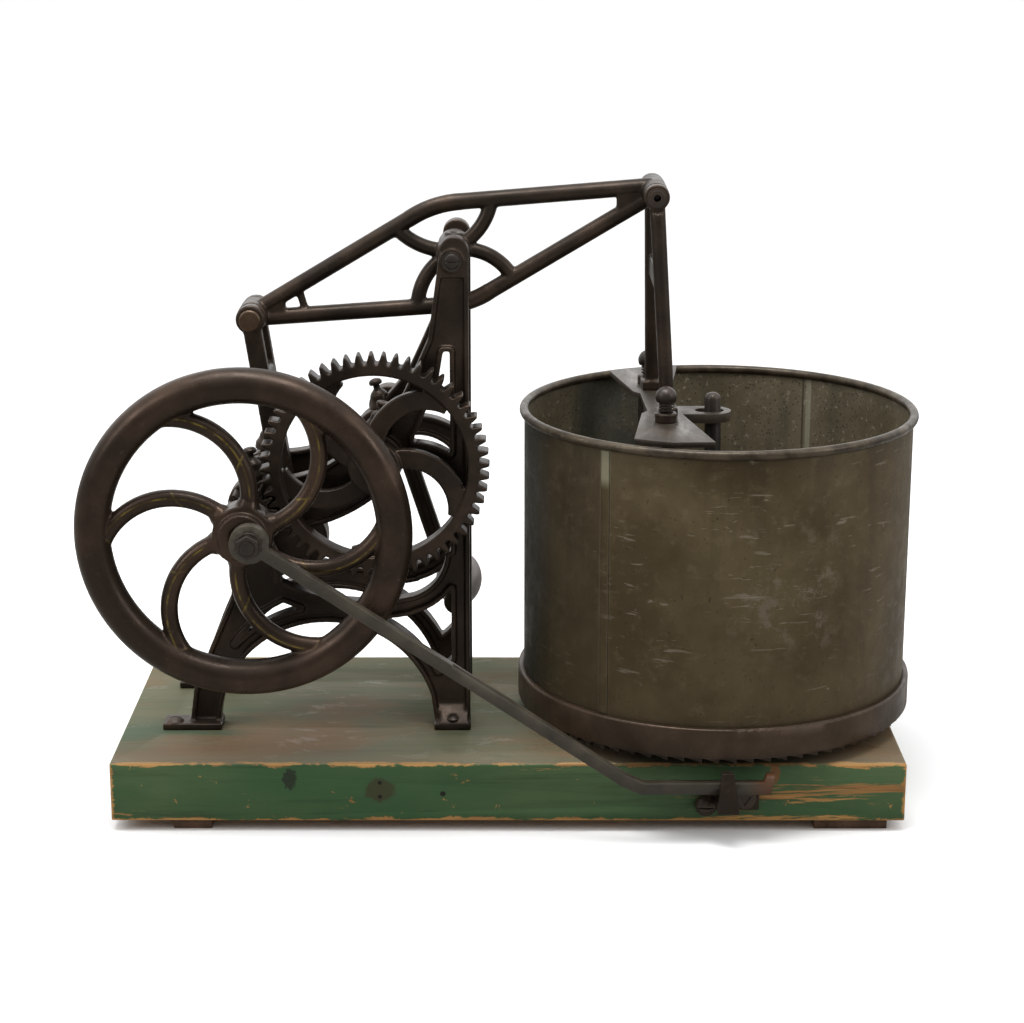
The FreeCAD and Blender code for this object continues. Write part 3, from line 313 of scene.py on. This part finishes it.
def blade_steel():
    """Ground steel with brown stains."""
    paint = Paint("blade_steel")
    grind = paint.cloud(90.0, 3.0, 0.6, paint.stretched((1, 0.1, 3)))
    stains = paint.cloud(40.0, 5.0, 0.65)
    colour = paint.blend(paint.span(stains, 0.45, 0.65), (0.24, 0.22, 0.19), (0.07, 0.05, 0.032))
    rough = paint.span(grind, 0.3, 0.7, 0.28, 0.5)
    return paint.finish(colour, rough, paint.bump(grind, 0.15 * MM, 0.4), metallic=0.85)


def around_drum(paint):
    """Angle round the drum: 0 at the front, positive towards the right, in radians."""
    x = paint.math("SUBTRACT", paint.axis(0), DRUM.x)
    y = paint.math("SUBTRACT", DRUM.y, paint.axis(1))
    return paint.math("ARCTAN2", x, y)


def near_angle(paint, angle, degrees, half_width):
    """1 within a half width (in degrees) of one bearing round the drum."""
    gap = paint.math("ABSOLUTE", paint.math("SUBTRACT", angle, math.radians(degrees)))
    return paint.span(gap, math.radians(half_width), math.radians(half_width * 0.6))


def drum_outside(paint, angle, height_mm):
    """Brown-olive tin with streaks, specks and scuffs; also returns the mottle it was made with."""
    streaks = paint.cloud(26.0, 4.0, 0.6, paint.stretched((1, 1, 0.10)))
    patches = paint.cloud(10.0, 6.0, 0.62)
    mottle = paint.cloud(85.0, 6.0, 0.7)
    colour = paint.blend(paint.span(patches, 0.36, 0.66), (0.056, 0.038, 0.016), (0.098, 0.073, 0.036))
    colour = paint.blend(paint.span(streaks, 0.50, 0.72, 0.0, 0.6), colour, (0.030, 0.020, 0.010))
    colour = paint.blend(paint.span(mottle, 0.50, 0.74, 0.0, 0.45), colour, (0.140, 0.108, 0.062))
    dark_specks = paint.span(paint.cloud(320.0, 3.0, 0.6), 0.62, 0.72, 0.0, 0.6)
    colour = paint.blend(dark_specks, colour, (0.022, 0.016, 0.009))

    off_height = paint.math("ABSOLUTE", paint.math("SUBTRACT", height_mm, WORN_HEIGHT))
    worn_place = paint.math("MULTIPLY", near_angle(paint, angle, WORN_ANGLE, 20.0),
                            paint.span(off_height, 62.0, 20.0))
    worn = paint.math("MULTIPLY", worn_place, paint.span(paint.cloud(46.0, 6.0, 0.75), 0.50, 0.64))
    colour = paint.blend(paint.math("MULTIPLY", worn, 0.6), colour, (0.16, 0.135, 0.10))

    level = paint.cloud(330.0, 3.0, 0.55, paint.stretched((0.12, 0.12, 1)), 0.25)
    slanted = paint.cloud(240.0, 3.0, 0.5, paint.stretched((0.25, 0.25, 1)), 1.2)
    where = paint.span(paint.cloud(13.0, 3.0, 0.5), 0.46, 0.60)
    marks = paint.math("MAXIMUM", paint.span(level, 0.64, 0.70), paint.span(slanted, 0.665, 0.72))
    colour = paint.blend(paint.math("MULTIPLY", paint.math("MULTIPLY", marks, where), 0.55), colour,
                         (0.22, 0.195, 0.15))
    colour = paint.blend(paint.span(height_mm, 26.0, 12.0, 0.0, 0.35), colour, (0.10, 0.082, 0.055))
    colour = paint.blend(paint.span(angle, *BESIDE_SEAM, 0.0, 0.35), colour, (0.028, 0.022, 0.013))
    # painted shade: the drum's left flank, where the light falls off, is painted darker
    colour = paint.blend(paint.span(angle, *SHADED_LEFT_SIDE, 0.0, 0.75), colour, (0.022, 0.027, 0.020))
    crease = paint.math("MAXIMUM", near_angle(paint, angle, SEAM_ANGLE + 1.5, 0.45),
                        near_angle(paint, angle, SEAM_ANGLE - 1.7, 0.35))
    colour = paint.blend(paint.math("MULTIPLY", crease, 0.22), colour, (0.13, 0.115, 0.075))
    solder = paint.math("MULTIPLY", near_angle(paint, angle, SEAM_ANGLE, 1.8),
                        paint.span(height_mm, 186.0, 196.0))
    colour = paint.blend(paint.math("MULTIPLY", solder, 0.7), colour, (0.26, 0.25, 0.17))
    return colour, mottle


def drum_inside(paint, angle, mottle):
    """Pitted grey-brown tin, a soldered strip down its seam, a dark patch of stain and painted shadow."""
    patches = paint.cloud(16.0, 6.0, 0.65)
    colour = paint.blend(paint.span(patches, 0.36, 0.64), (0.072, 0.058, 0.032), (0.118, 0.096, 0.060))
    streaks = paint.cloud(40.0, 4.0, 0.6, paint.stretched((1, 1, 0.2)))
    colour = paint.blend(paint.span(streaks, 0.5, 0.72, 0.0, 0.6), colour, (0.055, 0.048, 0.033))
    pits = paint.math("MULTIPLY", paint.span(paint.cells(330.0), 0.36, 0.18),
                      paint.span(mottle, 0.40, 0.56))
    colour = paint.blend(paint.math("MULTIPLY", pits, 0.8), colour, (0.022, 0.018, 0.012))
    pale = paint.span(paint.cloud(240.0, 3.0, 0.6), 0.60, 0.70, 0.0, 0.6)
    colour = paint.blend(pale, colour, (0.24, 0.215, 0.16))
    strip = near_angle(paint, angle, INNER_SEAM_ANGLE, 1.1)
    colour = paint.blend(paint.math("MULTIPLY", strip, paint.span(streaks, 0.35, 0.6, 0.4, 0.85)), colour,
                         (0.25, 0.245, 0.18))
    line = near_angle(paint, angle, INNER_SEAM_ANGLE + 1.9, 0.45)
    colour = paint.blend(paint.math("MULTIPLY", line, 0.7), colour, (0.025, 0.02, 0.014))
    # painted shadow: this dark greenish patch on the back wall is part stain, part the plate's shadow
    # painted in
    stain_and_shadow = paint.math("MULTIPLY", near_angle(paint, angle, STAIN_AND_SHADOW_ANGLE, 17.0),
                      paint.span(patches, 0.3, 0.5))
    return paint.blend(paint.math("MULTIPLY", stain_and_shadow, 0.7), colour, (0.020, 0.026, 0.020))


def drum_tin():
    """Old tinned sheet: brown-olive outside with streaks and scuffs, pitted grey-brown inside."""
    paint = Paint("drum_tin")
    angle = around_drum(paint)
    height_mm = paint.math("MULTIPLY", paint.math("SUBTRACT", paint.axis(2), DRUM_LOW.z), 1000.0)
    colour, mottle = drum_outside(paint, angle, height_mm)
    radial = paint.vector("MULTIPLY", paint.vector("SUBTRACT", paint.where, (DRUM.x, DRUM.y, 0)), (1, 1, 0))
    outward = paint.vector("DOT_PRODUCT", paint.node("NewGeometry").outputs["Normal"],
                           paint.vector("NORMALIZE", radial))
    reach = paint.vector("LENGTH", radial)
    inside = paint.math("MULTIPLY", paint.span(outward, 0.1, -0.1),
                        paint.span(reach, DRUM_RADIUS + 0.5 * MM, DRUM_RADIUS - 0.5 * MM))
    colour = paint.blend(inside, colour, drum_inside(paint, angle, mottle))
    rim = paint.span(height_mm, RIM_HEIGHT - 0.5, RIM_HEIGHT + 0.5)
    wire_patches = paint.span(paint.cloud(60.0, 4.0, 0.6), 0.35, 0.65)
    wire = paint.blend(wire_patches, (0.030, 0.022, 0.014), (0.075, 0.058, 0.038))
    colour = paint.blend(rim, colour, wire)
    edge = paint.math("MULTIPLY", paint.edges(1.0 * MM), 0.35)
    colour = paint.blend(edge, colour, (0.17, 0.14, 0.10))
    rough = paint.span(mottle, 0.3, 0.7, 0.40, 0.60)
    rough = paint.math("SUBTRACT", rough, paint.math("MULTIPLY", rim, 0.14))
    height = paint.math("ADD", mottle, paint.math("MULTIPLY", paint.cloud(9.0), 2.5))
    return paint.finish(colour, rough, paint.bump(height, 0.4 * MM, 0.5), metallic=0.35, specular=0.3)


def band_iron():
    """Rolled band and its ratchet teeth, dark brown, rubbed upper lip, painted highlight on its edges."""
    paint = Paint("band_iron")
    colour, rough, normal, edge = iron_layers(paint, (0.044, 0.029, 0.019), (0.080, 0.052, 0.034),
                                              (0.17, 0.125, 0.09))
    teeth = paint.span(paint.axis(2), BAND_FOOT + 9 * MM, BAND_FOOT + 5 * MM)
    colour = paint.blend(paint.math("MULTIPLY", teeth, 0.6), colour, (0.010, 0.008, 0.007))
    # painted highlight: the band's edges, upper lip included, are lightened again on top of their rubbed
    # wear
    colour = paint.blend(paint.math("MULTIPLY", edge, 0.3), colour, (0.24, 0.19, 0.14))
    return paint.finish(colour, rough, normal, metallic=0.5, specular=0.25)


def wood_grain(paint, lengthwise, rings=1.0):
    """Streaky grain along one axis: fine fibre plus wandering growth lines."""
    fibre = paint.cloud(150.0 * rings, 5.0, 0.65, paint.stretched(lengthwise), 0.3)
    figure = paint.cloud(30.0 * rings, 4.0, 0.6, paint.stretched(lengthwise), 0.8)
    return fibre, figure


def board_marks(paint, colour):
    """Painted marks on the long edges: nail holes in a stain, a knot hole, a dark notch, a rust spill.

    Each is an ellipse placed in millimetres, along from the board's middle and down from its top.
    Depth plays no part, so the back edge repeats what is on the front one.
    """
    def mark(under, along, down, size, tint, amount, ragged=0.0):
        centre = (BOARD.x + along * MM, BOARD_HIGH.z - down * MM)
        mask = paint.spot(centre, (size[0] * MM, size[1] * MM), ragged)
        return paint.blend(paint.math("MULTIPLY", mask, amount), under, tint)

    colour = mark(colour, -94, 21, (12, 10), (0.045, 0.032, 0.014), 0.75, 1.0)
    for down in (15.0, 26.0):
        colour = mark(colour, -94, down, (1.7, 1.7), (0.006, 0.005, 0.004), 1.0)
    colour = mark(colour, -47.7, 23.7, (2.4, 2.2), (0.010, 0.008, 0.005), 1.0, 0.4)
    colour = mark(colour, -160, 12, (5.5, 9), (0.016, 0.022, 0.012), 0.9, 1.4)
    colour = mark(colour, 195.5, 7, (4.0, 9.5), (0.20, 0.075, 0.022), 0.8, 1.0)
    return colour


def board_top(paint, fibre, figure, edge_wear):
    """Faded upper face: grey-green, brown where the paint has gone, pale along the rims."""
    broad = paint.cloud(7.0, 6.0, 0.65, paint.stretched((0.45, 1, 1)), 0.4)
    colour = paint.blend(paint.span(figure, 0.3, 0.7), (0.115, 0.108, 0.064), (0.080, 0.088, 0.048))
    colour = paint.blend(paint.span(broad, 0.44, 0.60, 0.0, 0.85), colour, (0.150, 0.086, 0.040))
    green = paint.cloud(15.0, 6.0, 0.7, paint.stretched((0.3, 1, 1)))
    colour = paint.blend(paint.span(green, 0.52, 0.66, 0.0, 0.75), colour, (0.050, 0.082, 0.048))
    colour = paint.blend(paint.span(fibre, 0.55, 0.72, 0.0, 0.55), colour, (0.050, 0.040, 0.026))
    y = paint.axis(1)
    lighter = paint.span(y, BOARD_LOW.y + 34 * MM, BOARD_LOW.y + 8 * MM, 0.0, 0.45)
    colour = paint.blend(lighter, colour, (0.17, 0.145, 0.095))
    return paint.blend(edge_wear, colour, (0.34, 0.20, 0.08))


def bare_wood(paint, x, from_bottom, arris):
    """1 where the paint has gone: the arrises, scrapes (more to the right and low down) and chips."""
    scrape = paint.cloud(42.0, 6.0, 0.75, paint.stretched((0.11, 1, 1.7)), 0.4)
    to_right = paint.span(x, BOARD.x - 50 * MM, BOARD.x + 240 * MM, 0.0, 0.085)
    low_half = paint.span(from_bottom, 24 * MM, 6 * MM, 0.0, 0.03)
    scraped = paint.span(paint.math("ADD", scrape, paint.math("ADD", to_right, low_half)), 0.655, 0.69)
    bare = paint.math("MAXIMUM", arris, scraped)
    chips = paint.span(paint.cloud(60.0, 5.0, 0.8), 0.64, 0.67)
    return paint.math("MAXIMUM", bare, chips)


def painted_board():
    """Softwood plank under old green paint: bare and ochre at the arrises, faded on top."""
    paint = Paint("painted_board")
    fibre, figure = wood_grain(paint, (0.045, 1, 1))
    wood = paint.blend(paint.span(figure, 0.35, 0.65), (0.50, 0.27, 0.09), (0.32, 0.15, 0.05))
    wood = paint.blend(paint.span(fibre, 0.5, 0.7, 0.0, 0.7), wood, (0.085, 0.044, 0.020))

    patches = paint.cloud(9.0, 6.0, 0.6, paint.stretched((0.5, 1, 1)))
    green = paint.blend(paint.span(patches, 0.35, 0.68), (0.036, 0.092, 0.034), (0.075, 0.125, 0.052))
    green = paint.blend(paint.span(fibre, 0.52, 0.72, 0.0, 0.4), green, (0.012, 0.024, 0.011))

    x, y, z = (paint.axis(i) for i in range(3))
    from_top = paint.math("SUBTRACT", BOARD_HIGH.z, z)
    from_bottom = paint.math("SUBTRACT", z, BOARD_LOW.z)
    from_side = paint.math("SUBTRACT", (BOARD_HIGH.x - BOARD_LOW.x) / 2,
                           paint.math("ABSOLUTE", paint.math("SUBTRACT", x, BOARD.x)))
    from_face = paint.math("SUBTRACT", (BOARD_HIGH.y - BOARD_LOW.y) / 2,
                           paint.math("ABSOLUTE", paint.math("SUBTRACT", y, BOARD.y)))

    ragged = paint.cloud(70.0, 6.0, 0.75, paint.stretched((0.4, 1, 1)), 0.5)
    wobble = paint.math("MULTIPLY", paint.math("SUBTRACT", ragged, 0.5), 17 * MM)
    up = paint.span(paint.facing((0, 0, 1)), 0.6, 0.8)
    front = paint.math("SUBTRACT", 1.0, up)

    def near(distance, width):
        return paint.span(paint.math("ADD", distance, wobble), width, width * 0.4)

    arris = paint.math("MAXIMUM", near(from_top, 2.2 * MM), near(from_bottom, 1.6 * MM))
    along_end = paint.math("ABSOLUTE", paint.facing((1, 0, 0)))
    upright = paint.blend(paint.span(along_end, 0.6, 0.8),
                          near(from_side, 2.6 * MM), near(from_face, 2.6 * MM))
    arris = paint.math("MAXIMUM", arris, upright)
    bare_front = bare_wood(paint, x, from_bottom, arris)

    colour = paint.blend(paint.math("MULTIPLY", bare_front, front), green, wood)
    colour = board_marks(paint, colour)
    colour = paint.blend(up, colour, board_top(paint, fibre, figure, near(from_face, 2.6 * MM)))
    rough = paint.span(bare_front, 0.0, 1.0, 0.48, 0.72)
    height = paint.math("ADD", paint.math("MULTIPLY", fibre, 0.6),
                        paint.math("MULTIPLY", bare_front, -0.35))
    height = paint.math("ADD", height, paint.math("MULTIPLY", figure, 0.5))
    return paint.finish(colour, rough, paint.bump(height, 0.9 * MM, 0.6), specular=0.3)


def batten_wood():
    """Plain brown softwood, grain running across the board."""
    paint = Paint("batten_wood")
    fibre, figure = wood_grain(paint, (1, 0.05, 1))
    colour = paint.blend(paint.span(figure, 0.35, 0.65), (0.17, 0.095, 0.055), (0.10, 0.055, 0.032))
    colour = paint.blend(paint.span(fibre, 0.5, 0.7, 0.0, 0.6), colour, (0.045, 0.026, 0.016))
    return paint.finish(colour, paint.span(fibre, 0.3, 0.7, 0.55, 0.75), paint.bump(fibre, 0.6 * MM, 0.6))


def block_wood():
    """End-grain block, scored by the knife and darkened by use."""
    paint = Paint("block_wood")
    scores = paint.cloud(70.0, 3.0, 0.6, paint.stretched((1, 0.05, 1)))
    stain = paint.cloud(14.0, 5.0, 0.6)
    colour = paint.blend(paint.span(stain, 0.35, 0.65), (0.20, 0.125, 0.068), (0.10, 0.062, 0.037))
    colour = paint.blend(paint.span(scores, 0.56, 0.7, 0.0, 0.8), colour, (0.04, 0.026, 0.016))
    rough = paint.span(stain, 0.3, 0.7, 0.62, 0.78)
    return paint.finish(colour, rough, paint.bump(scores, 1.0 * MM, 0.7))


def grip_wood():
    """Handle wood polished by hands, grain running along the handle."""
    paint = Paint("grip_wood")
    fibre, figure = wood_grain(paint, (1, 0.06, 1), 1.6)
    colour = paint.blend(paint.span(figure, 0.35, 0.65), (0.052, 0.029, 0.022), (0.028, 0.016, 0.012))
    colour = paint.blend(paint.span(fibre, 0.52, 0.7, 0.0, 0.6), colour, (0.036, 0.022, 0.016))
    rough = paint.span(figure, 0.3, 0.7, 0.34, 0.5)
    return paint.finish(colour, rough, paint.bump(fibre, 0.3 * MM, 0.5))


# ---------------------------------------------------------------- dressing the CAD nodes


MAKERS = (cast_iron, wheel_iron, shaft_steel, rod_steel, screw_steel, bronze_pin, crosshead_steel,
          blade_steel, drum_tin, band_iron, painted_board, batten_wood, block_wood, grip_wood)
MATERIALS = {maker.__name__: maker() for maker in MAKERS}
WELD_GAP = 0.005 * MM
ARRIS = 0.5 * MM
ROUND_ARRIS = 0.25 * MM
ROUND_ARRIS_ANGLE = 40.0


def dress(piece, slot):
    piece.data.materials.clear()
    piece.data.materials.append(MATERIALS[slot])
    for face in piece.data.polygons:
        face.material_index = 0


def weld(piece):
    made = piece.modifiers.new("weld", "WELD")
    made.merge_threshold = WELD_GAP


def soft_edges(piece, width, angle=35.0):
    """Small rounded arris on every edge sharper than the angle, in degrees."""
    weld(piece)
    made = piece.modifiers.new("arris", "BEVEL")
    made.width = width
    made.segments = 2
    made.limit_method = "ANGLE"
    made.angle_limit = math.radians(angle)
    made.use_clamp_overlap = True
    made.harden_normals = False
    piece.data.shade_smooth()
    piece.data.set_sharp_from_angle(angle=math.radians(50))


def cast_skin(piece, voxel, passes, regain):
    """Blend inside corners and outside edges together, as a sand casting has them.

    Smoothing thins the casting; regain is how far its surface is then pushed back out.
    """
    weld(piece)
    made = piece.modifiers.new("skin", "REMESH")
    made.mode = "VOXEL"
    made.voxel_size = voxel
    made.use_smooth_shade = True
    made = piece.modifiers.new("flow", "SMOOTH")
    made.factor = 0.5
    made.iterations = passes
    made = piece.modifiers.new("regain", "DISPLACE")
    made.mid_level = 0.0
    made.strength = regain


SLOT_OF = {row["node"]: row["material_slot"] for row in frame["record"]["subparts"]}
CAST = {  # node: voxel size, smoothing passes, regain
    "flywheel": (1.1 * MM, 7, 0.22 * MM),
    "walking_beam": (1.0 * MM, 5, 0.35 * MM),
    "front_frame": (1.0 * MM, 3, 0.12 * MM),
    "rear_frame": (1.0 * MM, 3, 0.12 * MM),
    "drive_gear": (0.8 * MM, 3, 0.15 * MM),
    "pitman": (1.0 * MM, 4, 0.15 * MM),
    "chopper_fork": (0.9 * MM, 3, 0.15 * MM),
    "crank_arm": (0.9 * MM, 3, 0.15 * MM),
    "bearing_oilers": (0.6 * MM, 2, 0.1 * MM),
}
ROUND_SMOOTH = ("handle_grip", "rim_wire", "drum_shell", "handle_pin", "gear_shaft", "flywheel_shaft")

for node, piece in frame["nodes"].items():
    dress(piece, SLOT_OF[node])
    if node in CAST:
        cast_skin(piece, *CAST[node])
    elif node in ROUND_SMOOTH:
        soft_edges(piece, ROUND_ARRIS, ROUND_ARRIS_ANGLE)
    else:
        soft_edges(piece, ARRIS)


# ---------------------------------------------------------------- studio


FLOOR_REACH = 30.0
FLOOR_BOUNCE = (0.34, 0.33, 0.31)
FRONT_LIGHT = 0.28
TOP_LIGHT = 1.4
BACK_TO_TOP = 0.6      # how much facing the back counts beside facing up
DIM_BELOW = -0.1       # sky is at FRONT_LIGHT below this tilt
FULL_ABOVE = 0.75      # and at TOP_LIGHT above this one


def floor():
    """Pale where the camera sees it, darker to the light that it throws back onto the machine."""
    corners = [(x * FLOOR_REACH, y * FLOOR_REACH, 0) for x, y in ((-1, -1), (1, -1), (1, 1), (-1, 1))]
    mesh = bpy.data.meshes.new("floor")
    mesh.from_pydata(corners, [], [(0, 1, 2, 3)])
    made = bpy.data.objects.new("floor", mesh)
    bpy.context.scene.collection.objects.link(made)
    paint = Paint("pale_floor")
    soft = paint.cloud(3.0)
    seen = paint.blend(paint.span(soft, 0.3, 0.7), (0.87, 0.87, 0.87), (0.89, 0.89, 0.89))
    direct = paint.node("LightPath").outputs["Is Camera Ray"]
    colour = paint.blend(direct, FLOOR_BOUNCE, seen)
    mesh.materials.append(paint.finish(colour, 0.9, specular=0.1))


def softbox(name, place, aim, width, height, power):
    data = bpy.data.lights.new(name, "AREA")
    data.shape = "RECTANGLE"
    data.size, data.size_y = width, height
    data.energy = power
    made = bpy.data.objects.new(name, data)
    made.location = place
    made.rotation_euler = (Vector(aim) - Vector(place)).to_track_quat("-Z", "Y").to_euler()
    bpy.context.scene.collection.objects.link(made)


def sky():
    """World light that is brighter from behind and above than from the camera's side."""
    world = bpy.data.worlds.new("studio")
    world.use_nodes = True
    nodes, links = world.node_tree.nodes, world.node_tree.links
    parts = nodes.new("ShaderNodeSeparateXYZ")
    links.new(nodes.new("ShaderNodeTexCoord").outputs["Generated"], parts.inputs[0])
    tilt = nodes.new("ShaderNodeMath")
    tilt.operation = "MULTIPLY_ADD"
    tilt.inputs[1].default_value = BACK_TO_TOP
    links.new(parts.outputs[1], tilt.inputs[0])
    links.new(parts.outputs[2], tilt.inputs[2])
    ramp = nodes.new("ShaderNodeMapRange")
    ramp.inputs["From Min"].default_value = DIM_BELOW
    ramp.inputs["From Max"].default_value = FULL_ABOVE
    ramp.inputs["To Min"].default_value = FRONT_LIGHT
    ramp.inputs["To Max"].default_value = TOP_LIGHT
    links.new(tilt.outputs[0], ramp.inputs["Value"])
    links.new(ramp.outputs["Result"], nodes["Background"].inputs[1])
    nodes["Background"].inputs[0].default_value = (1, 1, 1, 1)
    bpy.context.scene.world = world


def studio():
    sky()
    softbox("overhead", (-0.15, -0.35, 1.7), (0, -0.05, 0.1), width=1.2, height=0.5, power=22)
    softbox("left", (-1.7, -1.0, 1.2), (0, 0, 0.25), width=0.7, height=1.0, power=9)
    softbox("right", (1.8, -0.9, 1.1), (0, 0, 0.25), width=0.6, height=1.0, power=9)
    bpy.context.scene.view_settings.view_transform = "Standard"


# Place in metres, angles in degrees, lens and sensor width in millimetres.
CAMERA_PLACE = (3.7 * MM, -1781.75 * MM, 688 * MM)
CAMERA_DIP = 15.376
CAMERA_PAN = 0.044
LENS = 82.82
SENSOR = 36.0


def camera():
    data = bpy.data.cameras.new("camera")
    data.lens = LENS
    data.sensor_width = SENSOR
    made = bpy.data.objects.new("camera", data)
    made.location = CAMERA_PLACE
    made.rotation_euler = (math.radians(90 - CAMERA_DIP), 0, math.radians(CAMERA_PAN))
    bpy.context.scene.collection.objects.link(made)
    bpy.context.scene.camera = made


floor()
studio()
camera()
